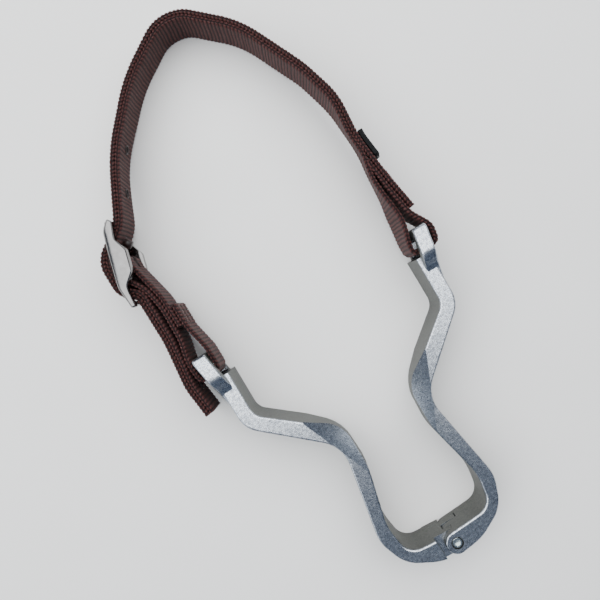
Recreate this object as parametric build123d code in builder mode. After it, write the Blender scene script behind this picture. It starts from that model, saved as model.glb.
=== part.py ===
"""Bitless hackamore: two cast aluminium arms hinged at the nose, joined by a buckled one-inch webbing strap.

It lies on its side on a flat surface. The origin is the nose hinge's axis at that surface, +Y runs from the
hinge towards the strap, +X towards the arm that carries the hinge screw, and +Z is up along the hinge.
All sizes are in millimetres.
"""

from build123d import *
from math import radians, tan
import os

os.makedirs("parts", exist_ok=True)

# Webbing, whose routes in plan are corners and the radius at each inner corner
WEB_WIDTH = 25.4  # one-inch webbing
PLY = 2.8  # thickness of one webbing
PLY_GAP = 0.15  # between two sewn plies
STRAP_LIFT = 5.6  # the webbing's lower edge where it hangs in the eyes and the buckle
HOLE_RADIUS = 2.2  # punched holes
HOLE_PITCH = 25.4  # along the strap
TONGUE_HOLE = 116.0  # distance of the tongue's hole from the strap's free end
HOLES = (-4, -3, -2, -1, 1, 2)  # the other holes, counted from the tongue's

# Eyes at the arms' ends
RAIL = 5.2  # height of an eye's upper and lower rail
WINDOW = 26.4  # free height inside an eye
EYE_HEIGHT = 2 * RAIL + WINDOW
EYE_WIDTH = 8.2  # across the rail
EYE_LEAN = 10.0  # degrees the rail turns outward
EYE_X, EYE_Y = 67.6, 155.6  # middle of the eye's outer bar
EYE_BAR = 5.4  # outer bar, along the rail
EYE_EDGE = 1.3  # rounding of the rails' long edges
EYE_END = 3.0  # rounding of the rails' ends
WINDOW_Y = 143.0  # the arm's end, where the window starts

# Arms
ARM_TOP = 25.4  # height at the hinge
ARM_END_TOP = 31.2  # height where the rail starts to rise
SLOPE_Y = 135.4  # where the rail starts to rise
SLOPE_END_Y = 142.2  # where it reaches its full height
ARM_EDGE = 1.0  # rounding of the long edges
BEVEL_SLANT = 40.0  # length of the waist bevel's cutting face across the slope

# Hinge
LEAVES = 5
LEAF = ARM_TOP / LEAVES
LEAF_GAP = 0.16  # each leaf is this much thinner on each face
KNUCKLE = 6.3  # outer radius of the leaves
KNUCKLE_WAY = 6.65  # radius of the hollow shoulders round the leaves
SLOT = 7.0  # distance from the axis to the straight shoulder round the stop lug
ARM_STOP_X = 9.4  # where the left arm's outer levels end
LUG_X = 6.4  # end of the left arm's stop lug
SLEEVE_RADIUS = 3.0
BORE_RADIUS = 3.05
FLANGE_RADIUS, FLANGE = 4.4, 1.5
HEAD_RADIUS, HEAD = 2.95, 3.0
SCREW_RADIUS = 1.95
SCREW_LENGTH = 14.0
SOCKET_FLATS, SOCKET_DEPTH = 3.2, 2.0

# Buckle
BUCKLE_HEIGHT = 36.6
SIDE_RAIL = 4.4  # thickness of each side rail
BUCKLE_EDGE = 1.1  # rounding of the side rails' outer edges
END_BAR_RADIUS = 1.25
CENTRE_BAR_RADIUS = 1.9
CENTRE_BAR = (-77.3, 222.5)
UPPER_BAR = (-72.3, 243.2)
LOWER_BAR = (-82.2, 200.2)
TONGUE_RADIUS = 1.35
TONGUE_EYE = 3.2  # height of the tongue's ring on the centre bar
TONGUE_SLOT = 4.4  # gap in the chape that the tongue's ring turns in
TONGUE = [(-79.3, 224.6), (-76.7, 237.0), (-75.2, 245.2)]
BUCKLE_SIDE = [
    (-73.0, 234.0), (-69.4, 242.6), (-70.9, 245.2), (-75.9, 240.6), (-80.4, 226.5), (-84.4, 211.0),
    (-83.4, 198.0), (-80.9, 197.6), (-80.2, 208.8), (-73.3, 214.4), (-70.2, 226.2),
]
BUCKLE_SIDE_RADII = [4, 0.8, 0.8, 8, 50, 14, 0.8, 0.8, 6, 3, 3]

# Label
LABEL_DEPTH = 2.9  # it stands out of the strap
LABEL_HEIGHT = 19.0
MID_LABEL = 19.6
LABEL_ABOVE, LABEL_BELOW = 3.6, 12.4  # its reach from the strap's corner each way
LABEL_EDGE = 0.3
LABEL_BEND = 34.0
LABEL_SPACE = 0.25  # from the strap's face

# Thread
THREAD = 0.8
STITCH = 2.6
STITCH_PITCH = 3.9
STITCH_ROWS = 8.6  # distance of the outer rows of stitches from the webbing's middle
STITCH_FACE = PLY / 2 + 0.45  # a stitch's top from the webbing's middle

# Outer face of the chin strap, from the free end through the buckle and round to the right eye
STRAP = [
    (-80.6, 129.0), (-82.8, 146.5), (-79.9, 174.0), (-80.4, 201.0), (-88.3, 207.6), (-88.3, 229.5),
    (-70.5, 241.9), (-53.6, 277.6), (-26.9, 309.0), (4.0, 328.6), (19.8, 325.9), (44.6, 303.4),
    (61.9, 264.0), (68.4, 240.0), (66.3, 215.0), (69.4, 188.5), (72.9, 169.4),
]
STRAP_RADII = [40, 60, 2.5, 12, 16, 20, 110, 90, 24, 20, 60, 60, 45, 60, 80]
LABEL_CORNER = 14  # the label lies across this corner of the strap

# Middle of the inner ply from there: round the right eye's bar and back between the plies
RIGHT_LOOP = [
    (60.2, 198.0), (61.6, 180.0), (60.6, 166.0), (59.1, 154.0), (59.0, 146.2), (73.4, 146.2),
    (75.0, 155.5), (68.6, 166.5), (65.4, 184.5), (63.6, 198.5),
]
RIGHT_LOOP_RADII = [60, 60, 60, 14, 2.8, 3.4, 9, 14, 60]

# Middle of the chape: from its cut end round the left eye's bar, round the buckle and back between
CHAPE = [
    (-64.8, 189.0), (-64.8, 176.0), (-61.3, 160.0), (-61.3, 146.2), (-73.2, 146.2), (-74.3, 157.5),
    (-71.2, 171.0), (-70.9, 190.5), (-73.6, 204.0), (-80.85, 214.5), (-80.85, 226.05), (-73.75, 226.05),
    (-73.75, 219.0), (-68.3, 196.0), (-67.8, 177.5),
]
CHAPE_RADII = [25, 18, 4.2, 3.2, 30, 40, 40, 20, 9, 3.5, 3.5, 12, 40]


def side_profile(points, radii, width):
    """A prism across X with a rounded outline drawn in the YZ plane."""
    with BuildPart() as prism:
        with BuildSketch(Plane.YZ):
            with BuildLine():
                top = FilletPolyline(*points, radius=radii)
                Line(top @ 1, top @ 0)
            make_face()
        extrude(amount=width / 2, both=True)
    return prism.part


def arm_plan():
    """Plan of the right arm, from the eye to the hinge."""
    with BuildSketch() as plan:
        with BuildLine():
            inner = FilletPolyline(
                (58.2, WINDOW_Y), (58.2, 116.0), (20.8, 85.8), (20.2, 60.0),
                (28.2, 27.0), (25.4, 8.0), (12.0, 7.0), (0, KNUCKLE),
                radius=[9, 21, 42, 30, 9.5, 30],
            )
            outer = FilletPolyline(
                (66.4, WINDOW_Y), (66.4, 112.5), (26.4, 77.2), (36.3, 21.8),
                (30.0, 4.4), (13.0, -4.6), (0, -KNUCKLE),
                radius=[15, 19, 22, 20, 30],
            )
            Line(inner @ 0, outer @ 0)
            ThreePointArc(inner @ 1, (-KNUCKLE, 0), outer @ 1)
        make_face()
    return plan.sketch


def waist_bevel(top):
    """Wedge that cuts the convex inner corner of the waist at 45 degrees, at the upper or the lower edge."""
    start, end = Vector(36.0, 96.0), Vector(27.0, 71.5)
    along = (end - start).normalized()
    inward = Vector(along.Y, -along.X)
    height = arm_height((start.Y + end.Y) / 2) if top else 0
    tilt = Vector(inward.X, inward.Y, 1 if top else -1).normalized()
    middle = (start + end) * 0.5 - inward * 0.4
    face = Plane(origin=(middle.X, middle.Y, height), x_dir=(along.X, along.Y, 0), z_dir=tilt)
    with BuildPart() as wedge:
        with BuildSketch(face):
            Rectangle(60, BEVEL_SLANT)
        extrude(amount=BEVEL_SLANT / 2)
    return wedge.part


def arm_height(y):
    """Height of an arm's top at y."""
    rise = (ARM_END_TOP - ARM_TOP) / (SLOPE_Y - KNUCKLE)
    return ARM_TOP + max(0, y - KNUCKLE) * rise


def in_window(edge):
    """Whether an edge of the eye lies on its window."""
    middle = edge.center()
    return middle.Y < EYE_Y - EYE_BAR / 2 + 0.1 and RAIL - 0.1 < middle.Z < RAIL + WINDOW + 0.1


def eye():
    """Closed rectangular loop at the right arm's end: two rails and an outer bar round a window."""
    end_y = EYE_Y + EYE_BAR / 2
    with BuildPart() as loop:
        add(side_profile(
            [(SLOPE_Y - 8, 0), (end_y, 0), (end_y, EYE_HEIGHT), (SLOPE_END_Y, EYE_HEIGHT),
             (SLOPE_Y, arm_height(SLOPE_Y)), (SLOPE_Y - 8, arm_height(SLOPE_Y) - 1)],
            [EYE_END, EYE_END, 10, 8], 200))
        with BuildSketch(Plane.YZ) as window:
            with Locations(((WINDOW_Y + EYE_Y - EYE_BAR / 2) / 2, RAIL + WINDOW / 2)):
                RectangleRounded(EYE_Y - EYE_BAR / 2 - WINDOW_Y, WINDOW, 1.6)
        extrude(amount=100, both=True, mode=Mode.SUBTRACT)
        with BuildSketch() as plan:
            root_x = EYE_X - (EYE_Y - SLOPE_Y + 8) * tan(radians(EYE_LEAN))
            half = EYE_WIDTH / 2
            with BuildLine():
                Polyline(
                    (root_x - half, SLOPE_Y - 8), (EYE_X - half, end_y), (EYE_X + half, end_y),
                    (root_x + half, SLOPE_Y - 8), close=True)
            make_face()
        extrude(amount=EYE_HEIGHT + 1, mode=Mode.INTERSECT)
        sides = [e for e in loop.edges() if abs((e @ 1 - e @ 0).X) < 0.5 * e.length]
        outer = [e for e in sides if e.center().Y > WINDOW_Y + 0.2 and not in_window(e)]
        fillet(outer, EYE_EDGE)
    return loop.part


def leaf_levels(numbers, shrink):
    """(bottom, top) of each numbered leaf, counted from the top."""
    for number in numbers:
        top = ARM_TOP - (number - 1) * LEAF
        yield top - LEAF + shrink, top - shrink


def arm_body(plan):
    """Bar of the right arm with its rising top, rounded long edges and the waist's bevels."""
    with BuildPart() as bar:
        add(plan)
        extrude(amount=ARM_END_TOP + 6)
        add(side_profile(
            [(-20, 0), (-20, ARM_TOP), (KNUCKLE, ARM_TOP), (SLOPE_Y, ARM_END_TOP),
             (WINDOW_Y + 5, ARM_END_TOP + 0.3), (WINDOW_Y + 5, 0)],
            [0.1, 400, 200, 0.1], 200), mode=Mode.INTERSECT)
        long_edges = [e for e in bar.edges() if abs(e.center().Z) < 0.01 or e.center().Z > ARM_TOP - 0.01]
        fillet([e for e in long_edges if e.length > 4.0 and e.center().Y < WINDOW_Y - 0.5], ARM_EDGE)
        add(waist_bevel(True), mode=Mode.SUBTRACT)
        add(waist_bevel(False), mode=Mode.SUBTRACT)
    return bar.part


def parallel(points, radii, distance):
    """A route that runs a distance to the right of another, with its corner radii."""
    corners = [Vector(*p) for p in points]
    along = [(b - a).normalized() for a, b in zip(corners, corners[1:])]
    right = [Vector(d.Y, -d.X) for d in along]
    shifted = [corners[0] + right[0] * distance]
    for corner, before, after in zip(corners[1:], right, right[1:]):
        mitre = (before + after).normalized()
        shifted.append(corner + mitre * (distance / mitre.dot(before)))
    shifted.append(corners[-1] + right[-1] * distance)
    turns = [a.cross(b).Z for a, b in zip(along, along[1:])]
    return [(p.X, p.Y) for p in shifted], [r + distance * (1 if t > 0 else -1) for r, t in zip(radii, turns)]


def route(points, radii):
    """Middle line of a webbing or a rod: straight runs joined by tangent arcs."""
    return FilletPolyline(*points, radius=radii, mode=Mode.PRIVATE)


def webbing(points, radii, low, high):
    """One ply standing on edge along a route, with its cut ends rounded."""
    with BuildPart(mode=Mode.PRIVATE) as ply:
        with BuildSketch(Plane.XY.offset(low)):
            with BuildLine():
                offset(route(points, radii), amount=PLY / 2, side=Side.BOTH)
            make_face()
        extrude(amount=high - low)
    return ply.part


def hanging_band():
    """Side outline that all webbing keeps within: lifted in the eyes and the buckle, down on the surface beyond."""
    low, high = STRAP_LIFT, STRAP_LIFT + WEB_WIDTH
    with BuildPart(mode=Mode.PRIVATE) as band:
        with BuildSketch(Plane.YZ):
            with BuildLine():
                base = FilletPolyline((100, low), (248, low), (302, 0), (345, 0), radius=150)
                top = FilletPolyline((100, high), (248, high), (302, WEB_WIDTH), (345, WEB_WIDTH), radius=150)
                Line(base @ 0, top @ 0)
                Line(base @ 1, top @ 1)
            make_face()
        extrude(amount=200, both=True)
    return band.part


def across(line, distance, height):
    """Plane whose normal crosses the webbing at a distance along its route."""
    u = distance / line.length
    return Plane(origin=(*tuple(line @ u)[:2], height), x_dir=line % u, z_dir=(line % u).cross(Vector(0, 0, 1)))


def stitches(line, start, count, height, face):
    """Row of stitches along a route, lying on the face at a distance to its right."""
    with BuildPart(mode=Mode.PRIVATE) as row:
        for number in range(count):
            with BuildSketch(across(line, start + number * STITCH_PITCH, height).offset(face)):
                SlotOverall(STITCH, THREAD)
            extrude(amount=0.35)
    return row.part


# ---------------------------------------------------------------- right arm: leaves 1, 3 and 5
with BuildPart() as right_arm:
    add(arm_body(arm_plan()))
    add(eye())
    for low, high in leaf_levels((2, 4), -LEAF_GAP):
        with BuildSketch(Plane.XY.offset(low)):
            Circle(KNUCKLE_WAY)
            shoulder = SLOT if low < ARM_TOP / 2 else 0
            with Locations((shoulder - 20, 0)):
                Rectangle(40, 30)
        extrude(amount=high - low, mode=Mode.SUBTRACT)
    with Locations((0, 0, ARM_TOP)):
        CounterBoreHole(BORE_RADIUS, 3.4, HEAD + 0.1)
    with BuildSketch():
        Circle(FLANGE_RADIUS + 0.1)
    extrude(amount=FLANGE + 0.05, mode=Mode.SUBTRACT)
right_arm.part.label = "right_arm"
export_step(right_arm.part, "parts/right_arm.step")

# ---------------------------------------------------------------- left arm: leaves 2 and 4
with BuildPart() as left_arm:
    with BuildPart(mode=Mode.PRIVATE) as blank:
        add(arm_body(arm_plan()))
        with BuildSketch(Plane.XY.rotated((0, 0, -4))):
            with Locations((ARM_STOP_X - 20, 0)):
                Rectangle(40, 30)
        extrude(amount=40, mode=Mode.SUBTRACT)
        add(eye())
    add(mirror(blank.part, about=Plane.YZ, mode=Mode.PRIVATE))
    for low, high in leaf_levels((2, 4), LEAF_GAP):
        with BuildSketch(Plane.XY.offset(low)) as tongue:
            Circle(KNUCKLE)
            with BuildLine():
                Polyline((0, -KNUCKLE), (-ARM_STOP_X - 2, -5.6), (-ARM_STOP_X - 2, 6.9),
                         (0, KNUCKLE), close=True)
            make_face()
            if low < ARM_TOP / 2:
                with Locations(((LUG_X - ARM_STOP_X) / 2, KNUCKLE - 1)):
                    Rectangle(LUG_X + ARM_STOP_X, 2.6)
        extrude(amount=high - low)
    for low, high in leaf_levels((3, 5), -LEAF_GAP):
        with BuildSketch(Plane.XY.offset(max(low, 0))) as shoulder_end:
            add(mirror(arm_plan(), about=Plane.YZ, mode=Mode.PRIVATE))
            with Locations((-ARM_STOP_X + 1, 0)):
                Rectangle(10, 30, mode=Mode.INTERSECT)
            Circle(KNUCKLE_WAY, mode=Mode.SUBTRACT)
        extrude(amount=high - max(low, 0))
    with Locations((0, 0, ARM_TOP)):
        Hole(BORE_RADIUS)
left_arm.part.label = "left_arm"
export_step(left_arm.part, "parts/left_arm.step")

# ---------------------------------------------------------------- hinge pin: sleeve nut and socket screw
with BuildPart() as hinge_sleeve:
    Cylinder(SLEEVE_RADIUS, ARM_TOP - HEAD - 0.2, align=(Align.CENTER, Align.CENTER, Align.MIN))
    Cylinder(FLANGE_RADIUS, FLANGE, align=(Align.CENTER, Align.CENTER, Align.MIN))
    chamfer(hinge_sleeve.edges().filter_by(GeomType.CIRCLE).group_by(Axis.Z)[0], 0.4)
    with Locations((0, 0, ARM_TOP - HEAD - 0.2)):
        Hole(SCREW_RADIUS + 0.05, depth=SCREW_LENGTH + 1.5)
hinge_sleeve.part.label = "hinge_sleeve"
export_step(hinge_sleeve.part, "parts/hinge_sleeve.step")

with BuildPart() as hinge_screw:
    with Locations((0, 0, ARM_TOP - 0.2)):
        Cylinder(HEAD_RADIUS, HEAD - 0.1, align=(Align.CENTER, Align.CENTER, Align.MAX))
        Cylinder(SCREW_RADIUS, HEAD + SCREW_LENGTH, align=(Align.CENTER, Align.CENTER, Align.MAX))
    chamfer(hinge_screw.faces().sort_by(Axis.Z)[-1].edges(), 0.45)
    chamfer(hinge_screw.faces().sort_by(Axis.Z)[0].edges(), 0.5)
    with BuildSketch(Plane.XY.offset(ARM_TOP - 0.2)):
        RegularPolygon(SOCKET_FLATS / 2, 6, major_radius=False)
    extrude(amount=-SOCKET_DEPTH, mode=Mode.SUBTRACT)
hinge_screw.part.label = "hinge_screw"
export_step(hinge_screw.part, "parts/hinge_screw.step")

# ---------------------------------------------------------------- chin strap: two sewn plies
MID_WEB = STRAP_LIFT + WEB_WIDTH / 2
outer_points, outer_radii = parallel(STRAP, STRAP_RADII, PLY / 2)
inner_points, inner_radii = parallel(STRAP[:LABEL_CORNER + 1], STRAP_RADII[:LABEL_CORNER - 1], 1.5 * PLY + PLY_GAP)
inner_points = inner_points + RIGHT_LOOP
inner_radii = inner_radii + [STRAP_RADII[LABEL_CORNER - 1]] + RIGHT_LOOP_RADII
strap_line = route(outer_points, outer_radii)
web_band = hanging_band()

# The tongue's shank crosses the strap through one of its holes
with BuildPart() as tongue_way:
    with BuildLine(Plane.XY.offset(MID_WEB)):
        shank_line = FilletPolyline(*TONGUE, radius=12)
    with BuildSketch(Plane(origin=shank_line @ 0, z_dir=shank_line % 0)):
        Circle(HOLE_RADIUS)
    sweep(path=shank_line)


def strap_ply(points, radii):
    """One full-width ply of the chin strap with its punched holes."""
    with BuildPart(mode=Mode.PRIVATE) as ply:
        add(webbing(points, radii, 0, STRAP_LIFT + WEB_WIDTH + 1))
        add(web_band, mode=Mode.INTERSECT)
        for number in HOLES:
            with BuildSketch(across(strap_line, TONGUE_HOLE + number * HOLE_PITCH, MID_WEB)):
                Circle(HOLE_RADIUS)
            extrude(amount=3 * PLY, both=True, mode=Mode.SUBTRACT)
        add(tongue_way.part, mode=Mode.SUBTRACT)
    return ply.part


with BuildPart() as strap_outer_ply:
    add(strap_ply(outer_points, outer_radii))
strap_outer_ply.part.label = "strap_outer_ply"
export_step(strap_outer_ply.part, "parts/strap_outer_ply.step")

with BuildPart() as strap_inner_ply:
    add(strap_ply(inner_points, inner_radii))
strap_inner_ply.part.label = "strap_inner_ply"
export_step(strap_inner_ply.part, "parts/strap_inner_ply.step")

# ---------------------------------------------------------------- chape: one webbing with a loop at each end
with BuildPart() as chape_strap:
    add(webbing(CHAPE, CHAPE_RADII, STRAP_LIFT, STRAP_LIFT + WEB_WIDTH))
    with BuildSketch(Plane.XY.offset(MID_WEB - TONGUE_SLOT / 2)):
        with Locations((CENTRE_BAR[0], CENTRE_BAR[1] + 3)):
            Rectangle(14, 16)
    extrude(amount=TONGUE_SLOT, mode=Mode.SUBTRACT)
chape_strap.part.label = "chape_strap"
export_step(chape_strap.part, "parts/chape_strap.step")

# ---------------------------------------------------------------- buckle: bowed frame with end bars and centre bar
with BuildPart() as buckle_frame:
    for low in (0, BUCKLE_HEIGHT - SIDE_RAIL):
        with BuildSketch(Plane.XY.offset(low)):
            with BuildLine():
                FilletPolyline(*BUCKLE_SIDE, radius=BUCKLE_SIDE_RADII, close=True)
            make_face()
        extrude(amount=SIDE_RAIL)
    for height in (0, BUCKLE_HEIGHT):
        fillet(buckle_frame.edges().filter_by_position(Axis.Z, height - 0.01, height + 0.01), BUCKLE_EDGE)
    for bar, radius in ((UPPER_BAR, END_BAR_RADIUS), (LOWER_BAR, END_BAR_RADIUS), (CENTRE_BAR, CENTRE_BAR_RADIUS)):
        with Locations((*bar, BUCKLE_HEIGHT / 2)):
            Cylinder(radius, BUCKLE_HEIGHT - SIDE_RAIL)
buckle_frame.part.label = "buckle_frame"
export_step(buckle_frame.part, "parts/buckle_frame.step")

with BuildPart() as buckle_tongue:
    with BuildSketch(Plane.XY.offset(MID_WEB - TONGUE_EYE / 2)):
        with Locations(CENTRE_BAR):
            Circle(CENTRE_BAR_RADIUS + 2.0)
    extrude(amount=TONGUE_EYE)
    with BuildSketch(Plane(origin=shank_line @ 0, z_dir=shank_line % 0)):
        Circle(TONGUE_RADIUS)
    sweep(path=shank_line)
    with Locations(shank_line @ 1):
        Sphere(TONGUE_RADIUS)
    with BuildSketch(Plane.XY.offset(MID_WEB - TONGUE_EYE)):
        with Locations(CENTRE_BAR):
            Circle(CENTRE_BAR_RADIUS + 0.05)
    extrude(amount=2 * TONGUE_EYE, mode=Mode.SUBTRACT)
buckle_tongue.part.label = "buckle_tongue"
export_step(buckle_tongue.part, "parts/buckle_tongue.step")

# ---------------------------------------------------------------- blank label tab on the strap's outer face
label_ends = [Vector(*p) for p in STRAP[LABEL_CORNER - 1:LABEL_CORNER + 2]]
above = label_ends[1] + (label_ends[0] - label_ends[1]).normalized() * LABEL_ABOVE
below = label_ends[1] + (label_ends[2] - label_ends[1]).normalized() * LABEL_BELOW
label_route = parallel([(p.X, p.Y) for p in (above, label_ends[1], below)], [LABEL_BEND],
                       -LABEL_DEPTH / 2 - LABEL_SPACE)
with BuildPart() as label_tab:
    with BuildSketch(Plane.XY.offset(MID_LABEL - LABEL_HEIGHT / 2)):
        with BuildLine():
            offset(route(*label_route), amount=LABEL_DEPTH / 2 - LABEL_EDGE, side=Side.BOTH)
        make_face()
        offset(amount=LABEL_EDGE)
    extrude(amount=LABEL_HEIGHT)
label_tab.part.label = "label_tab"
export_step(label_tab.part, "parts/label_tab.step")

# ---------------------------------------------------------------- thread
chape_line = route(CHAPE, CHAPE_RADII)
with BuildPart() as loop_thread:
    for height in (MID_WEB - STITCH_ROWS, MID_WEB, MID_WEB + STITCH_ROWS):
        add(stitches(strap_line, strap_line.length - 22, 5, height, -STITCH_FACE))
loop_thread.part.label = "loop_thread"
export_step(loop_thread.part, "parts/loop_thread.step")

with BuildPart() as chape_thread:
    for height in (MID_WEB - STITCH_ROWS, MID_WEB, MID_WEB + STITCH_ROWS):
        add(stitches(chape_line, 2.5, 3, height, -STITCH_FACE))
chape_thread.part.label = "chape_thread"
export_step(chape_thread.part, "parts/chape_thread.step")

made = [left_arm, right_arm, hinge_sleeve, hinge_screw, strap_outer_ply, strap_inner_ply, chape_strap,
        buckle_frame, buckle_tongue, label_tab, loop_thread, chape_thread]
for piece in made:
    size = piece.part.bounding_box()
    print(piece.part.label, round(piece.part.volume, 1), size.min, size.max)
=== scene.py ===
"""Looks of the bitless hackamore: cast arms, webbing chin strap, buckle, label, stitching and studio."""

import math
import random

import bpy
import numpy as np
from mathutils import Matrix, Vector


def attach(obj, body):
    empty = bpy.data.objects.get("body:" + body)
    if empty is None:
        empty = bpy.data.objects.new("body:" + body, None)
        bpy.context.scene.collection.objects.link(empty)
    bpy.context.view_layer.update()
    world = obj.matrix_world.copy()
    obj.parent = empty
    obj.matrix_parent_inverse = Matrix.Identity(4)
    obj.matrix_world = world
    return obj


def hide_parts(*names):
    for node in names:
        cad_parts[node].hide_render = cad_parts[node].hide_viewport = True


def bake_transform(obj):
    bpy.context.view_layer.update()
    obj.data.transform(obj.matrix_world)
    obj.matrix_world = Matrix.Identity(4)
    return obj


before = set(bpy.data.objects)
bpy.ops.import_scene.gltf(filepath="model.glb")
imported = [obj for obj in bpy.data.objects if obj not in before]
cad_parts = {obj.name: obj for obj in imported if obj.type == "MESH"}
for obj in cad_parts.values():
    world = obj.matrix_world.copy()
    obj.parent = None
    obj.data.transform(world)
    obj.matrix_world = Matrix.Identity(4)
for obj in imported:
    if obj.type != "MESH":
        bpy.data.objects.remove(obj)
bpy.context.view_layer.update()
MM = 0.001

# Webbing, in millimetres: the CAD's routes, which are corners and the radius at each
PLY = 2.8
WEB_WIDTH = 25.4
STRAP_LIFT = 5.6
HEM = 0.5  # the strap's lower edge stays this far above its nominal height
PLY_GAP = 0.15
RIB_PITCH = 2.2
DESCENT_START, DESCENT_END = 248, 302  # along Y, where the strap comes down to the surface
DESCENT_ROUNDING = 7.75
HOLE_PITCH = 25.4
TONGUE_HOLE = 116.0  # distance of hole 0 along the outer ply
HOLES = (-4, -3, -2, -1, 1, 2, 0)
HOLE_RADIUS = 2.1
TONGUE_HOLE_EXTRA = 0.2
MID_WEB = STRAP_LIFT + WEB_WIDTH / 2
CENTRE_BAR = (-77.3, 222.5)
STRAP = [
    (-80.6, 129.0), (-82.8, 146.5), (-79.9, 174.0), (-80.4, 201.0), (-88.3, 207.6), (-88.3, 229.5),
    (-70.5, 241.9), (-53.6, 277.6), (-26.9, 309.0), (4.0, 328.6), (19.8, 325.9), (44.6, 303.4),
    (61.9, 264.0), (68.4, 240.0), (66.3, 215.0), (69.4, 188.5), (72.9, 169.4),
]
STRAP_RADII = [40, 60, 2.5, 12, 16, 20, 110, 90, 24, 20, 60, 60, 45, 60, 80]
LABEL_CORNER = 14
RIGHT_LOOP = [  # its cut end, the last point, is a little beyond the CAD's
    (60.2, 198.0), (61.6, 180.0), (60.6, 166.0), (59.1, 154.0), (59.0, 146.2), (73.4, 146.2),
    (75.0, 155.5), (68.6, 166.5), (65.4, 184.5), (63.3, 202.0),
]
RIGHT_LOOP_RADII = [60, 60, 60, 14, 2.8, 3.4, 9, 14, 60]
CHAPE = [
    (-64.8, 189.0), (-64.8, 176.0), (-61.3, 160.0), (-61.3, 146.2), (-73.2, 146.2), (-74.3, 157.5),
    (-71.2, 171.0), (-70.9, 190.5), (-73.6, 204.0), (-80.85, 214.5), (-80.85, 226.05), (-73.75, 226.05),
    (-73.75, 219.0), (-68.3, 196.0), (-67.8, 177.5),
]
CHAPE_RADII = [25, 18, 4.2, 3.2, 30, 40, 40, 20, 9, 3.5, 3.5, 12, 40]
TONGUE_SLOT = 4.4
SLOT_SIDEWAYS, SLOT_BEHIND, SLOT_AHEAD = 7, 5, 11  # the slot cutter's reach from the centre bar: X, -Y and +Y

# Leans of the webbing, in millimetres, each with the stretch of Y that it grows and fades over
RIGHT_LEG_LEAN = (4.2, 165, 246)
LEFT_LEG_LEAN = (1.4, 236, 300)
EYE_LEAN = (2.4, 146, 184)
CUT_END_LEAN = (2.0, 188, 222)
CHAPE_LEAN = (1.6, 145, 178)
RIGHT_LEG_X, LEFT_LEG_X = 40, -20  # the strap's legs lie outside these
INNER_LEG_X, CUT_END_X, CHAPE_STRAND_X = 64, 63, -68
MOSTLY_ALONG = 0.5  # Y of a direction that runs up or down a leg

# Relief of the webbing's surface: shares of a rib, or millimetres where a name says so
RIB_SHARPNESS = 0.75
RIB_WANDER = 0.06
BEADS, BEAD_DEPTH, BEAD_SHIFT_MM = 14, 0.07, 3.1  # small swellings along a rib
EDGE_SQUARENESS = 4
EDGE_GROOVE_DEPTH, EDGE_GROOVE_WIDTH = 0.9, 0.22
EDGE_BLEND = 6
EDGE_SINK = 0.6
EDGE_INSET_MM = 0.1
EDGE_RADIUS_MM = 1.25
CAP_SCALE, CAP_OUT_MM, CAP_CREST = (0.97, 0.97, 0.985), 0.35, 0.6


# ------------------------------------------------------------------ materials
class Nodes:
    """Short calls for a material's node tree. A value is a number, a tuple or another node's socket."""

    def __init__(self, name):
        self.material = bpy.data.materials.new(name)
        self.material.use_nodes = True
        self.tree = self.material.node_tree
        self.shader = self.tree.nodes["Principled BSDF"]

    def give(self, socket, value):
        if isinstance(value, bpy.types.NodeSocket):
            self.tree.links.new(value, socket)
        else:
            socket.default_value = (*value, 1) if socket.type == "RGBA" else value

    def add(self, kind, values=(), **settings):
        node = self.tree.nodes.new(kind)
        for key, value in settings.items():
            setattr(node, key, value)
        for key, value in dict(values).items():
            self.give(node.inputs[key], value)
        return node

    def set(self, **values):
        for key, value in values.items():
            self.give(self.shader.inputs[key.replace("_", " ")], value)

    def coordinates(self):
        return self.add("ShaderNodeTexCoord").outputs["Object"]

    def crest(self):
        """The webbing's own relief, from 0 in a groove to 1 on a rib."""
        return self.add("ShaderNodeAttribute", attribute_name="crest").outputs["Fac"]

    def noise(self, vector, scale, detail, roughness):
        values = {"Vector": vector, "Scale": scale, "Detail": detail, "Roughness": roughness}
        return self.add("ShaderNodeTexNoise", values).outputs["Fac"]

    def ramp(self, factor, *stops):
        node = self.add("ShaderNodeValToRGB", {"Fac": factor})
        elements = node.color_ramp.elements
        while len(elements) < len(stops):
            elements.new(0.5)
        for element, (position, colour) in zip(elements, stops):
            element.position = position
            element.color = (*colour, 1) if isinstance(colour, tuple) else (colour, colour, colour, 1)
        return node.outputs["Color"]

    def mix(self, factor, a, b):
        node = self.add("ShaderNodeMix", data_type="RGBA")
        for index, value in ((0, factor), (6, a), (7, b)):
            self.give(node.inputs[index], value)
        return node.outputs[2]

    def math(self, operation, a, b=0.0):
        return self.add("ShaderNodeMath", {0: a, 1: b}, operation=operation).outputs[0]

    def spread(self, value, low, high, to_low, to_high):
        """A value's range from low to high, mapped to another range."""
        limits = {"From Min": low, "From Max": high, "To Min": to_low, "To Max": to_high}
        return self.add("ShaderNodeMapRange", {"Value": value, **limits}).outputs[0]

    def bump(self, height, distance, strength, normal=None):
        """Distances are in metres."""
        values = {"Height": height, "Distance": distance, "Strength": strength}
        if normal is not None:
            values["Normal"] = normal
        return self.add("ShaderNodeBump", values).outputs["Normal"]


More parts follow.
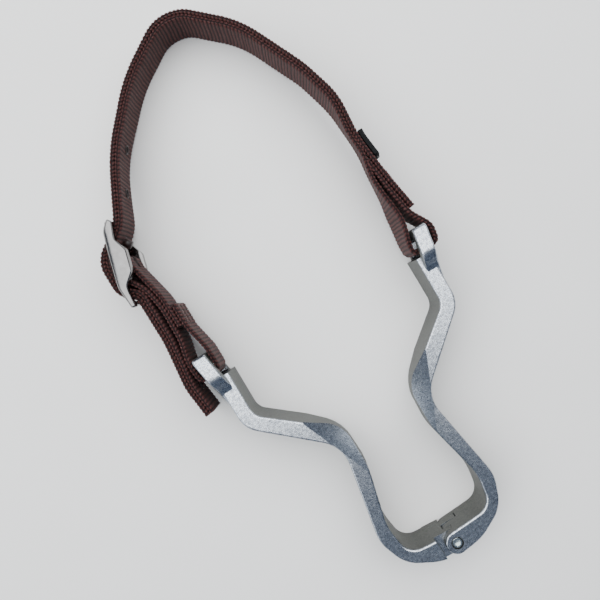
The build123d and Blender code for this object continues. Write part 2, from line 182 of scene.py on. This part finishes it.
def cast_aluminium():
    """Tumbled cast aluminium: bright, faintly mottled flats with darker specks and shallow pits, rougher as-cast
    side walls, and painted shade that darkens the side walls."""
    dark, middle, light = (0.23, 0.25, 0.29), (0.46, 0.49, 0.53), (0.72, 0.75, 0.78)
    # the second colour here is painted shade for the upright side walls
    speck, wall_shade = (0.17, 0.18, 0.20), (0.075, 0.077, 0.066)
    speck_strength, wall_shade_strength, wall_roughness = 0.45, 0.92, 0.28
    n = Nodes("cast_aluminium")
    at = n.coordinates()
    fine = n.noise(at, 1900, 3, 0.65)
    broad = n.noise(at, 620, 3, 0.6)
    tone = n.mix(0.35, n.ramp(fine, (0.34, 0.0), (0.68, 1.0)), n.ramp(broad, (0.34, 0.0), (0.66, 1.0)))
    colour = n.ramp(tone, (0.12, dark), (0.45, middle), (0.85, light))
    specks = n.ramp(n.noise(at, 800, 2, 0.5), (0.36, 1.0), (0.45, 0.0))
    colour = n.mix(n.math("MULTIPLY", specks, speck_strength), colour, speck)
    normal = n.add("ShaderNodeNewGeometry").outputs["Normal"]
    upright = n.add("ShaderNodeSeparateXYZ", {"Vector": normal}).outputs["Z"]
    wall = n.ramp(n.math("ABSOLUTE", upright), (0.15, 1.0), (0.62, 0.0))
    # painted shade: the colour of upright side walls is pulled towards a dark grey; only their extra roughness is
    # as-cast
    colour = n.mix(n.math("MULTIPLY", wall, wall_shade_strength), colour, wall_shade)
    rough = n.spread(fine, 0.3, 0.7, 0.31, 0.22)
    rough = n.math("ADD", rough, n.math("MULTIPLY", wall, wall_roughness))
    n.set(Base_Color=colour, Metallic=1.0, Roughness=rough)
    pits = n.bump(fine, 0.00004, 0.5)
    n.set(Normal=n.bump(broad, 0.00007, 0.5, pits))
    return n.material


def steel(name, dark, light, smooth, rough, scratch, dome=None):
    """Polished steel with faint smears and fine scratches. A dome is a place on the ridge of a crowned face, the
    ridge's direction and how quickly the face falls away beside it."""
    n = Nodes(name)
    at = n.coordinates()
    smear = n.noise(at, 180, 3, 0.6)
    stretched = n.add("ShaderNodeMapping", {"Vector": at, "Scale": (1.0, 0.12, 1.0)}).outputs[0]
    fine = n.noise(stretched, 3200, 2, 0.6)
    roughness = n.spread(n.math("MULTIPLY", smear, fine), 0.1, 0.45, smooth, rough)
    n.set(Base_Color=n.mix(smear, dark, light), Metallic=1.0, Roughness=roughness)
    normal = n.bump(fine, 0.00002, scratch)
    if dome:
        ridge, lengthwise, curve = dome
        crosswise = (lengthwise[1], -lengthwise[0], 0)
        away = n.add("ShaderNodeVectorMath", {0: at, 1: ridge}, operation="SUBTRACT").outputs[0]
        across = n.add("ShaderNodeVectorMath", {0: away, 1: crosswise}, operation="DOT_PRODUCT").outputs["Value"]
        height = n.math("MULTIPLY", n.math("MULTIPLY", across, across), -curve)
        normal = n.bump(height, 1.0, 1.0, normal)
    n.set(Normal=normal)
    return n.material


def webbing_fabric():
    """Brown nylon webbing with fine slanting yarns, painted shade that leaves the rib crests lighter and the
    grooves near-black, and painted highlights on flecks of the fibre fuzz.
    """
    # the first colour here is painted shade for the grooves between the ribs
    painted_groove_shade, dark_yarn, light_yarn = (0.0035, 0.0009, 0.0013), (0.028, 0.007, 0.0062), (0.100, 0.028, 0.025)
    # the second colour here is a painted highlight for light flecks on the fibre fuzz
    stain, fibre_highlight, sheen = (0.070, 0.022, 0.018), (0.34, 0.19, 0.18), (0.8, 0.5, 0.46)
    yarn_tilt = 0.62  # radians
    n = Nodes("brown_webbing")
    at = n.coordinates()
    uv = n.add("ShaderNodeTexCoord").outputs["UV"]
    tilted = n.add("ShaderNodeMapping", {"Vector": uv, "Rotation": (0, 0, yarn_tilt)}).outputs[0]
    wave = {"Vector": tilted, "Scale": 620.0, "Distortion": 1.4, "Detail": 1.0, "Detail Scale": 1.4}
    yarn = n.add("ShaderNodeTexWave", wave).outputs["Fac"]
    fuzz = n.noise(at, 2600, 3, 0.65)
    blotch = n.noise(at, 120, 2, 0.5)
    face = n.mix(yarn, dark_yarn, light_yarn)
    face = n.mix(n.ramp(blotch, (0.35, 0.0), (0.75, 0.35)), face, stain)
    # painted highlight: light flecks scattered over the face by the fuzz noise
    face = n.mix(n.ramp(fuzz, (0.56, 0.0), (0.78, 0.85)), face, fibre_highlight)
    # painted shade: the crest attribute darkens the grooves between the ribs to near black and leaves the crests
    # lighter
    groove_shade_mix = n.ramp(n.crest(), (0.24, 0.0), (0.60, 0.40), (0.94, 1.0))
    n.set(Base_Color=n.mix(groove_shade_mix, painted_groove_shade, face), Roughness=0.74, Sheen_Weight=0.05, Sheen_Roughness=0.4,
          Sheen_Tint=sheen, Specular_IOR_Level=0.25)
    soft = n.bump(fuzz, 0.00012, 0.4)
    n.set(Normal=n.bump(yarn, 0.00012, 0.75, soft))
    return n.material


def melted_nylon():
    """Heat-sealed nylon round the holes and at the cut ends: dark, hard and slightly glossy."""
    n = Nodes("melted_nylon")
    lumps = n.noise(n.coordinates(), 900, 2, 0.5)
    n.set(Base_Color=n.mix(lumps, (0.008, 0.004, 0.004), (0.035, 0.018, 0.016)), Roughness=0.38)
    n.set(Normal=n.bump(lumps, 0.00025, 0.8))
    return n.material


def thread():
    """Brown nylon thread."""
    n = Nodes("brown_thread")
    fuzz = n.noise(n.coordinates(), 3000, 2, 0.5)
    n.set(Base_Color=n.mix(fuzz, (0.06, 0.027, 0.023), (0.16, 0.085, 0.075)), Roughness=0.62, Sheen_Weight=0.3)
    n.set(Normal=n.bump(fuzz, 0.00008, 0.6))
    return n.material


def label_tape():
    """Black woven tape with no mark on it."""
    n = Nodes("black_label")
    fuzz = n.noise(n.coordinates(), 3000, 2, 0.6)
    face = n.mix(fuzz, (0.003, 0.0035, 0.004), (0.010, 0.011, 0.012))
    # painted shade: the crest attribute darkens the grooves between the tape's fine ribs to black
    n.set(Base_Color=n.mix(n.crest(), (0.001, 0.001, 0.001), face), Roughness=0.75, Specular_IOR_Level=0.2)
    n.set(Normal=n.bump(fuzz, 0.00005, 0.5))
    return n.material


ALUMINIUM = cast_aluminium()
SCREW_STEEL = steel("screw_steel", (0.50, 0.56, 0.56), (0.72, 0.77, 0.77), 0.16, 0.32, 0.25)
BUCKLE_STEEL = steel("buckle_steel", (0.15, 0.142, 0.136), (0.29, 0.284, 0.28), 0.12, 0.26, 0.35,
                     dome=((-0.0747, 0.2215, 0.0366), (0.29, 0.957), 42.0))
WEBBING = webbing_fabric()
MELTED = melted_nylon()
THREAD = thread()
LABEL = label_tape()


def finish_node(name, material):
    """Puts a material on a CAD node."""
    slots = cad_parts[name].material_slots
    for slot in slots:
        slot.material = material
    if not slots:
        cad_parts[name].data.materials.append(material)


for node_name in ("left_arm", "right_arm"):
    finish_node(node_name, ALUMINIUM)
for node_name in ("hinge_sleeve", "hinge_screw"):
    finish_node(node_name, SCREW_STEEL)
for node_name in ("buckle_frame", "buckle_tongue"):
    finish_node(node_name, BUCKLE_STEEL)


# ------------------------------------------------------------------ webbing
def unit(vector):
    return vector / np.linalg.norm(vector)


def rounded(points, radii):
    """Dense points of a webbing's middle line: straight runs joined by tangent arcs."""
    arc_step = 0.4
    corners = [np.array(p, float) for p in points]
    line = [corners[0]]
    for before, corner, after, radius in zip(corners, corners[1:], corners[2:], radii):
        a, b = unit(corner - before), unit(after - corner)
        turn = math.acos(max(-1.0, min(1.0, a @ b)))
        side = math.copysign(1.0, a[0] * b[1] - a[1] * b[0])
        normal = np.array([-a[1], a[0]]) * side
        centre = corner - a * radius * math.tan(turn / 2) + normal * radius
        for angle in np.linspace(0, turn, max(4, int(turn * radius / arc_step) + 2)):
            line.append(centre - normal * radius * math.cos(angle) + a * radius * math.sin(angle))
    line.append(corners[-1])
    return np.array(line)


def parallel(points, radii, distance):
    """A route that runs a distance to the right of another, with its corner radii."""
    corners = [np.array(p, float) for p in points]
    along = [unit(b - a) for a, b in zip(corners, corners[1:])]
    right = [np.array([d[1], -d[0]]) for d in along]
    shifted = [corners[0] + right[0] * distance]
    for corner, before, after in zip(corners[1:], right, right[1:]):
        mitre = unit(before + after)
        shifted.append(corner + mitre * distance / (mitre @ before))
    shifted.append(corners[-1] + right[-1] * distance)
    turns = [a[0] * b[1] - a[1] * b[0] for a, b in zip(along, along[1:])]
    return [tuple(p) for p in shifted], [r + math.copysign(distance, t) for r, t in zip(radii, turns)]


class Line:
    """A middle line that gives its point and direction at a distance along it."""

    def __init__(self, points, radii):
        dense = rounded(points, radii)
        steps = np.linalg.norm(np.diff(dense, axis=0), axis=1)
        distinct = steps > 1e-6
        self.points = dense[np.r_[True, distinct]]
        self.distance = np.r_[0, np.cumsum(steps[distinct])]
        self.length = self.distance[-1]

    def at(self, distance):
        return np.stack([np.interp(distance, self.distance, self.points[:, k]) for k in (0, 1)], axis=-1)

    def direction(self, distance):
        reach = 0.25
        ahead = self.at(np.clip(np.asarray(distance) + reach, 0, self.length))
        behind = self.at(np.clip(np.asarray(distance) - reach, 0, self.length))
        d = ahead - behind
        return d / np.linalg.norm(d, axis=-1, keepdims=True)


def lift(y):
    """Height of the strap's lower edge: it hangs in the eyes and the buckle and lies on the surface beyond."""
    offsets = np.linspace(-DESCENT_ROUNDING, DESCENT_ROUNDING, 9)
    descent = DESCENT_END - DESCENT_START
    return STRAP_LIFT * np.mean([np.clip((DESCENT_END - y + o) / descent, 0, 1) for o in offsets], axis=0)


def ribbed(phase):
    """Round crests with narrow grooves between: 1 on a crest, 0 in a groove."""
    return np.abs(np.cos(np.pi * phase)) ** RIB_SHARPNESS


def new_mesh(name, vertices, faces, materials, smooth=True):
    mesh = bpy.data.meshes.new(name)
    mesh.from_pydata([tuple(v) for v in vertices], [], faces)
    for material in materials:
        mesh.materials.append(material)
    mesh.polygons.foreach_set("use_smooth", [smooth] * len(mesh.polygons))
    mesh.update()
    piece = bpy.data.objects.new(name, mesh)
    bpy.context.scene.collection.objects.link(piece)
    return piece


def section(face_cells, edge_cells):
    """Places round a webbing's section: right face upwards, top edge, left face downwards, bottom edge. Each is a
    kind, a place across from the right face, 1, to the left face, -1, and a share of the height."""
    return ([("face", 1.0, k / face_cells) for k in range(face_cells)]
            + [("top", 1 - 2 * k / edge_cells, 1.0) for k in range(edge_cells)]
            + [("face", -1.0, 1 - k / face_cells) for k in range(face_cells)]
            + [("bottom", -1 + 2 * k / edge_cells, 0.0) for k in range(edge_cells)])


def web_piece(name, line, low, high, sway, seed, half=PLY / 2, pitch=RIB_PITCH, rib=0.34, edge_rib=0.75,
              slant=0.36, materials=(WEBBING, MELTED), step=7, edge_cells=10, face_cells=9):
    """One webbing: ribs across both faces that bend over the rolled edges and dive into a groove along each edge's
    middle, where they meet those of the other face half a pitch away. low and high are functions of y, and sway
    says how far along X the bottom and the top edge are moved."""
    rng = np.random.default_rng(seed)
    count = int(line.length / pitch * step) + 1
    s = np.linspace(0, line.length, count)
    middle, along = line.at(s), line.direction(s)
    right = np.stack([along[:, 1], -along[:, 0]], axis=-1)
    wobble = np.interp(s, np.linspace(0, line.length, 40), rng.normal(0, 0.10, 40))
    bottom, top = low(middle[:, 1]) + wobble, high(middle[:, 1]) + wobble
    rib_places = np.arange(0, line.length + pitch, pitch)
    irregular = np.interp(s, rib_places, rng.normal(0, 0.07, int(line.length / pitch) + 2))
    foot, head = sway(middle, along)

    ring = section(face_cells, edge_cells)
    around = len(ring)
    core = half - rib
    radius = min(core, EDGE_RADIUS_MM)
    positions = np.zeros((count, around, 3))
    crests = np.zeros((count, around))
    for j, (kind, v, h) in enumerate(ring):
        phase = s / pitch + irregular + (-slant * abs(v) if v < 0 else 0.5 - slant * abs(v) + 2 * slant)
        if kind == "face":
            wander = RIB_WANDER * np.sin(h * 9 + s * 0.05)
            beads = np.cos(2 * np.pi * (h * BEADS + s / BEAD_SHIFT_MM))
            crest = ribbed(phase + wander) * (1 - BEAD_DEPTH + BEAD_DEPTH * beads)
            out = v * (core + rib * crest)
            z = bottom + radius + (top - bottom - 2 * radius) * h
        else:
            dive = 1 - EDGE_GROOVE_DEPTH * math.exp(-((v / EDGE_GROOVE_WIDTH) ** 2))
            blend = 1 - abs(v) ** EDGE_BLEND
            crest = ribbed(phase) * (dive * blend + 1 - blend)
            extra = (edge_rib - rib) * blend
            sized = radius - extra * EDGE_SINK + (rib + extra) * crest
            out = v * (core - radius + sized)
            rise = (1 - v ** EDGE_SQUARENESS) ** (1 / EDGE_SQUARENESS) * sized - EDGE_INSET_MM
            z = top - radius + rise if kind == "top" else bottom + radius - rise
        positions[:, j, :2] = middle + right * out[:, None]
        positions[:, j, 0] += (foot * (top - z) + head * (z - bottom)) / (top - bottom)
        positions[:, j, 2] = z
        crests[:, j] = crest

    vertices = positions.reshape(-1, 3)
    shades = list(crests.reshape(-1))
    faces, uvs = [], []
    v_step = 2 * (WEB_WIDTH + PLY) / around
    for i in range(count - 1):
        for j in range(around):
            k = (j + 1) % around
            faces.append((i * around + j, (i + 1) * around + j, (i + 1) * around + k, i * around + k))
            near, far = j * v_step, (j + 1) * v_step
            uvs += [(s[i], near), (s[i + 1], near), (s[i + 1], far), (s[i], far)]
    first_cap_face = len(faces)
    for i, sign in ((0, -1), (count - 1, 1)):  # heat-sealed ends: a slightly smaller ring, then a flat cap
        centre = positions[i].mean(axis=0)
        inner = centre + (positions[i] - centre) * np.array(CAP_SCALE)
        inner[:, :2] += sign * along[i] * CAP_OUT_MM
        start = len(vertices)
        vertices = np.vstack([vertices, inner])
        shades += [CAP_CREST] * around
        for j in range(around):
            k = (j + 1) % around
            quad = (i * around + j, i * around + k, start + k, start + j)
            faces.append(quad if sign > 0 else quad[::-1])
        cap = tuple(range(start, start + around))
        faces.append(cap if sign > 0 else cap[::-1])
        uvs += [(0, 0)] * (5 * around)

    piece = new_mesh(name, vertices * MM, faces, materials)
    mesh = piece.data
    layer = mesh.uv_layers.new(name="along_around")
    layer.data.foreach_set("uv", (np.array(uvs) * MM).ravel())
    attribute = mesh.attributes.new("crest", "FLOAT", "POINT")
    attribute.data.foreach_set("value", np.array(shades, np.float32))
    if len(materials) > 1:
        for polygon in mesh.polygons[first_cap_face:]:
            polygon.material_index = 1
    return piece


def tube(path, radius, sides):
    """Vertices and faces of a round rod with closed ends, in millimetres."""
    path = np.array(path, float)
    vertices, faces = [], []
    side = None
    for point, tangent in zip(path, np.gradient(path, axis=0)):
        t = Vector(tangent).normalized()
        side = (t.orthogonal() if side is None else side - t * side.dot(t)).normalized()
        up = t.cross(side)
        for k in range(sides):
            a = 2 * math.pi * k / sides
            vertices.append(Vector(point) + (side * math.cos(a) + up * math.sin(a)) * radius)
    rings = len(path)
    for i in range(rings - 1):
        for k in range(sides):
            n = (k + 1) % sides
            faces.append((i * sides + k, i * sides + n, (i + 1) * sides + n, (i + 1) * sides + k))
    faces.append(tuple(reversed(range(sides))))
    faces.append(tuple((rings - 1) * sides + k for k in range(sides)))
    return vertices, faces


def join_parts(name, parts, material):
    vertices, faces = [], []
    for part_vertices, part_faces in parts:
        start = len(vertices)
        vertices += [tuple(v) for v in part_vertices]
        faces += [tuple(start + i for i in face) for face in part_faces]
    return new_mesh(name, np.array(vertices) * MM, faces, [material])


def place(line, distance, height, out):
    """Point beside a webbing's middle line: out is to its right."""
    point, d = line.at(distance), line.direction(distance)
    return np.array([point[0] + d[1] * out, point[1] - d[0] * out, height])


def cut(piece, cutters):
    """Cuts the joined cutter meshes out of a piece."""
    modifier = piece.modifiers.new("cut", "BOOLEAN")
    modifier.operation, modifier.solver, modifier.object = "DIFFERENCE", "EXACT", cutters
    bpy.context.view_layer.update()
    graph = bpy.context.evaluated_depsgraph_get()
    mesh = bpy.data.meshes.new_from_object(piece.evaluated_get(graph))
    old = piece.data
    piece.modifiers.clear()
    piece.data = mesh
    bpy.data.meshes.remove(old)
    bpy.data.objects.remove(cutters)


inner_points, inner_radii = parallel(
    STRAP[:LABEL_CORNER + 1], STRAP_RADII[:LABEL_CORNER - 1], 1.5 * PLY + PLY_GAP)
inner_radii += [STRAP_RADII[LABEL_CORNER - 1]] + RIGHT_LOOP_RADII
outer_line = Line(*parallel(STRAP, STRAP_RADII, PLY / 2))
inner_line = Line(inner_points + RIGHT_LOOP, inner_radii)
chape_line = Line(CHAPE, CHAPE_RADII)


def strap_low(y):
    return lift(y) + HEM


def strap_high(y):
    return lift(y) + WEB_WIDTH


def lean(y, amount, low, high):
    """A lean that grows from nothing to its amount and back between two places along Y."""
    return amount * np.sin(math.pi * np.clip((y - low) / (high - low), 0, 1)) ** 2


def strap_sway(at, along):
    """The strap's sewn right leg stands outward at its foot, its inner ply closes in on the loop's cut end, and
    beside the eye its top leans on the rail. The left leg stands outward at its foot too."""
    x, y = at[:, 0], at[:, 1]
    inner_leg = (x > RIGHT_LEG_X) & (x < INNER_LEG_X) & (along[:, 1] < -MOSTLY_ALONG)
    foot = lean(y, *RIGHT_LEG_LEAN) * (x > RIGHT_LEG_X) - lean(y, *LEFT_LEG_LEAN) * (x < LEFT_LEG_X)
    head = lean(y, *EYE_LEAN) * inner_leg + lean(y, *CUT_END_LEAN) * inner_leg * (x < CUT_END_X)
    return foot, head


def chape_sway(at, along):
    """The chape's outer strand leans over the window beside the left eye."""
    strand = (at[:, 0] > CHAPE_STRAND_X) & (along[:, 1] > MOSTLY_ALONG)
    return 0, lean(at[:, 1], *CHAPE_LEAN) * strand


strap_outer = web_piece("strap_outer_webbing", outer_line, strap_low, strap_high, strap_sway, seed=3)
strap_inner = web_piece("strap_inner_webbing", inner_line, strap_low, strap_high, strap_sway, seed=5)
chape = web_piece("chape_webbing", chape_line, strap_low, strap_high, chape_sway, seed=7)


def hole_place(number):
    """Distance along the outer ply and height of a punched hole. The tongue is in hole 0."""
    distance = TONGUE_HOLE + number * HOLE_PITCH
    return distance, MID_WEB - STRAP_LIFT + lift(outer_line.at(distance)[1])


def hole_cutters():
    """Rods through both plies, one at each hole."""
    reach = (-4.5, 8.5)
    parts = []
    for number in HOLES:
        distance, height = hole_place(number)
        radius = HOLE_RADIUS if number else HOLE_RADIUS + TONGUE_HOLE_EXTRA
        parts.append(tube([place(outer_line, distance, height, out) for out in reach], radius, 20))
    return join_parts("hole_cutters", parts, MELTED)


def slot_cutter():
    """A box that cuts the tongue's slot in the chape where it wraps the centre bar."""
    x, y = CENTRE_BAR
    x0, x1, y0, y1 = x - SLOT_SIDEWAYS, x + SLOT_SIDEWAYS, y - SLOT_BEHIND, y + SLOT_AHEAD
    heights = (MID_WEB - TONGUE_SLOT / 2, MID_WEB + TONGUE_SLOT / 2)
    corners = [(*corner, z) for z in heights for corner in ((x0, y0), (x1, y0), (x1, y1), (x0, y1))]
    faces = [(3, 2, 1, 0), (4, 5, 6, 7), (0, 1, 5, 4), (1, 2, 6, 5), (2, 3, 7, 6), (3, 0, 4, 7)]
    return new_mesh("slot_cutter", np.array(corners) * MM, faces, [MELTED], False)


for strap in (strap_outer, strap_inner):
    cut(strap, hole_cutters())
cut(chape, slot_cutter())


def hole_rims():
    """Melted rings round the holes on the strap's two outer faces."""
    segments, uneven, face_out, sink, thickness = 24, 0.08, 0.02, 0.93, 0.34
    parts = []
    rng = random.Random(11)
    for number in HOLES:
        distance, height = hole_place(number)
        for face in (-PLY / 2 - face_out, PLY * 1.5 + PLY_GAP + face_out):
            ring = []
            for k in range(segments + 1):
                a = 2 * math.pi * k / segments
                r = HOLE_RADIUS + 0.25 + (rng.uniform(-uneven, uneven) if 0 < k < segments else 0)
                ring.append(place(outer_line, distance + r * math.cos(a), height + r * math.sin(a), face * sink))
            parts.append(tube(ring, thickness, 8))
    return join_parts("strap_hole_rims", parts, MELTED)


rims = hole_rims()

# ------------------------------------------------------------------ stitching
STITCH_ROWS = (MID_WEB - 8.6, MID_WEB, MID_WEB + 8.6)
STITCH_PITCH, STITCH_LENGTH, STITCH_SEGMENTS = 3.9, 3.3, 12
STITCH_OUT = -PLY / 2 - 0.15  # to the left of the webbing's middle
STITCH_BOW, STITCH_END = 0.30, 0.32
TWIST, STRAND_UP, STRAND_OUT, STRAND_RADIUS = 3.2, 0.17, 0.15, 0.22


def stitch_rows(name, line, start, count, sway):
    """Rows of two-strand thread stitches. Each lies on the webbing at its middle and bows off it at its ends."""
    parts = []
    for height in STITCH_ROWS:
        for number in range(count):
            first = start + number * STITCH_PITCH - STITCH_LENGTH / 2
            for strand in (0, math.pi):
                path = []
                for k in range(STITCH_SEGMENTS + 1):
                    u = k / STITCH_SEGMENTS
                    bow = STITCH_OUT + STITCH_BOW * math.sin(math.pi * u) - STITCH_END
                    turn = strand + TWIST * math.pi * u
                    point = place(line, first + STITCH_LENGTH * u, height + STRAND_UP * math.cos(turn),
                                  bow + STRAND_OUT * math.sin(turn))
                    foot = sway(point[None, :2], line.direction(first)[None])[0]
                    point[0] += float(np.sum(foot)) * (STRAP_LIFT + WEB_WIDTH - point[2]) / WEB_WIDTH
                    path.append(point)
                parts.append(tube(path, STRAND_RADIUS, 6))
    return join_parts(name, parts, THREAD)


loop_stitching = stitch_rows("loop_stitching", outer_line, outer_line.length - 22, 5, strap_sway)
chape_stitching = stitch_rows("chape_stitching", chape_line, 2.5, 3, chape_sway)

# ------------------------------------------------------------------ label
LABEL_DEPTH, LABEL_HEIGHT, MID_LABEL = 2.9, 19.0, 19.6
LABEL_BEND, LABEL_SPACE, LABEL_ABOVE, LABEL_BELOW = 34.0, 0.25, 3.6, 12.4
before, corner, after = (np.array(p, float) for p in STRAP[LABEL_CORNER - 1:LABEL_CORNER + 2])
above = corner + unit(before - corner) * LABEL_ABOVE
below = corner + unit(after - corner) * LABEL_BELOW
label_line = Line(*parallel([above, corner, below], [LABEL_BEND], -LABEL_DEPTH / 2 - LABEL_SPACE))


def label_sway(at, along):
    """It leans as the strap's face behind it does."""
    foot = strap_sway(at, along)[0]
    top, low = STRAP_LIFT + WEB_WIDTH - MID_LABEL, LABEL_HEIGHT / 2
    return foot * (top + low) / WEB_WIDTH, foot * (top - low) / WEB_WIDTH


def level(height):
    """A height that is the same at every y."""
    return lambda y: height + 0 * y


label = web_piece("blank_label", label_line, level(MID_LABEL - LABEL_HEIGHT / 2),
                  level(MID_LABEL + LABEL_HEIGHT / 2), label_sway, seed=9, half=LABEL_DEPTH / 2, pitch=0.55,
                  rib=0.09, edge_rib=0.14, slant=0.1, materials=(LABEL,), step=5, edge_cells=12, face_cells=30)

# ------------------------------------------------------------------ bodies and stand-ins
for piece in (strap_outer, strap_inner, rims, loop_stitching, label):
    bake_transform(piece)
for piece in (chape, chape_stitching):
    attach(piece, "left_side")
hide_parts("strap_outer_ply")
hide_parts("strap_inner_ply")
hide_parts("chape_strap")
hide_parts("loop_thread")
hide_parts("chape_thread")
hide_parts("label_tab")


# ------------------------------------------------------------------ floor, lights and camera
FLOOR_REACH, FLOOR_Z = 3, -0.0001  # metres, as are all lengths from here on


def floor_material():
    n = Nodes("pale_floor")
    cloud = n.noise(n.coordinates(), 9, 3, 0.5)
    n.set(Base_Color=n.mix(cloud, (0.80, 0.785, 0.76), (0.85, 0.84, 0.82)), Roughness=0.9)
    return n.material


floor_corners = [(x * FLOOR_REACH, y * FLOOR_REACH, FLOOR_Z) for x, y in ((-1, -1), (1, -1), (1, 1), (-1, 1))]
floor = new_mesh("floor", floor_corners, [(0, 1, 2, 3)], [floor_material()], False)


def softbox(name, location, aim, size, power, colour):
    """A rectangular lamp of a size in metres and a power in watts."""
    lamp = bpy.data.lights.new(name, "AREA")
    lamp.shape, lamp.size, lamp.size_y = "RECTANGLE", size[0], size[1]
    lamp.energy, lamp.color = power, colour
    holder = bpy.data.objects.new(name, lamp)
    bpy.context.scene.collection.objects.link(holder)
    holder.location = location
    holder.rotation_euler = (Vector(aim) - Vector(location)).to_track_quat("-Z", "Y").to_euler()


softbox("key_softbox", location=(-0.03, 1.01, 1.05), aim=(-0.03, 1.01, 0.0), size=(3.2, 2.32), power=88.0,
        colour=(0.975, 0.99, 1.0))
softbox("fill_softbox", location=(-1.3, -0.2, 0.9), aim=(0.0, 0.15, 0.0), size=(0.8, 0.8), power=4.0,
        colour=(0.85, 0.92, 1.0))

world = bpy.data.worlds.new("studio")
bpy.context.scene.world = world
world.use_nodes = True
background = world.node_tree.nodes["Background"]
background.inputs["Color"].default_value = (0.44, 0.57, 0.82, 1)
background.inputs["Strength"].default_value = 0.24

CAMERA_PLACE = (-0.0024, 0.1558, 0.360)
CAMERA_UP = (0.513, 0.858)  # along X and Y; it looks straight down
camera = bpy.data.cameras.new("camera")
camera.lens, camera.sensor_width = 37.14, 36.0
camera.shift_x, camera.shift_y = -0.01, -1 / 300
camera.clip_start = 0.01
holder = bpy.data.objects.new("camera", camera)
bpy.context.scene.collection.objects.link(holder)
holder.location = CAMERA_PLACE
holder.rotation_euler = (0, 0, -math.atan2(*CAMERA_UP))
bpy.context.scene.camera = holder
